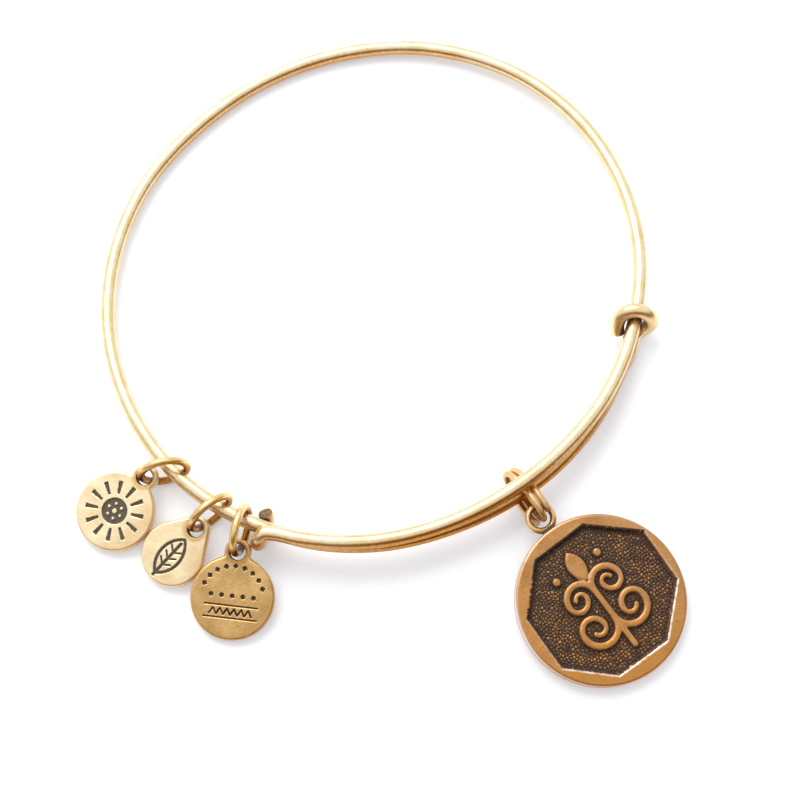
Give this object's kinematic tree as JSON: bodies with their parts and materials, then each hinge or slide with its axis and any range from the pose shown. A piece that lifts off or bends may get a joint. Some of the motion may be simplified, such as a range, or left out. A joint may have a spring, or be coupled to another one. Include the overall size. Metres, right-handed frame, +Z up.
{
  "type": "expandable wire bangle bracelet",
  "caption": "Springy wire bangle whose ends wrap round its own strands, with a round pendant on an oval link and small charms on jump rings.",
  "frame": {"origin": "on the surface that the bracelet lies on, under the middle of its bounding box", "axes": "+Z up, along the wrist that the hoop goes round; -Y towards the charms and the pendant; +X towards the pendant's side"},
  "size_m": [0.0692, 0.0808, 0.0062],
  "materials": {
    "bangle_wire": "satin antique gold",
    "pendant_metal": "satin copper bronze, darkened in the sunk field",
    "ring_metal": "satin pale gold",
    "pale_charm": "satin pale gold with darkened cuts",
    "bronze_charm": "mottled bronze gold with darkened cuts"
  },
  "bodies": {
    "root": {"bangle_wire": "bangle_wire", "round_pendant": "pendant_metal", "pendant_ring": "ring_metal", "sun_charm": "pale_charm", "sun_charm_ring": "ring_metal", "drop_charm": "pale_charm", "drop_charm_ring": "ring_metal", "lined_charm": "bronze_charm", "lined_charm_ring": "ring_metal"}
  },
  "joints": []
}
